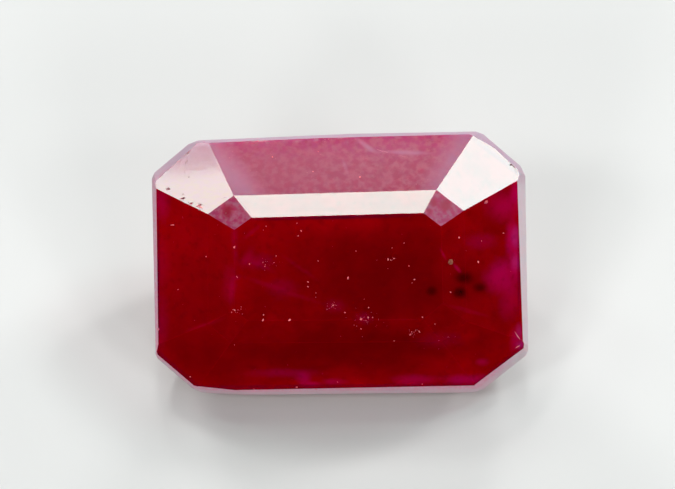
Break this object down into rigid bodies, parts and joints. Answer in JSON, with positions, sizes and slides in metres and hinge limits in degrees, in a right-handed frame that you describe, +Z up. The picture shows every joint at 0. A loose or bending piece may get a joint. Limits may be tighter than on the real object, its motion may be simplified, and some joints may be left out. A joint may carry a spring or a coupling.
{
  "type": "faceted ruby gemstone",
  "caption": "Loose octagonal step-cut ruby with a flat table, stepped crown, frosted rim and keeled pavilion, lying on a pavilion facet.",
  "frame": {"origin": "on the surface the stone lies on, under the middle of its bounding box", "axes": "+X along the stone's long sides, to the right as seen facing the table; +Z up, away from the resting facet; -Y towards the viewer, the way the table leans"},
  "size_m": [0.0104, 0.006, 0.0051],
  "materials": {
    "ruby": "polished",
    "inclusion": "matte"
  },
  "bodies": {
    "root": {"ruby": "ruby"}
  },
  "joints": []
}
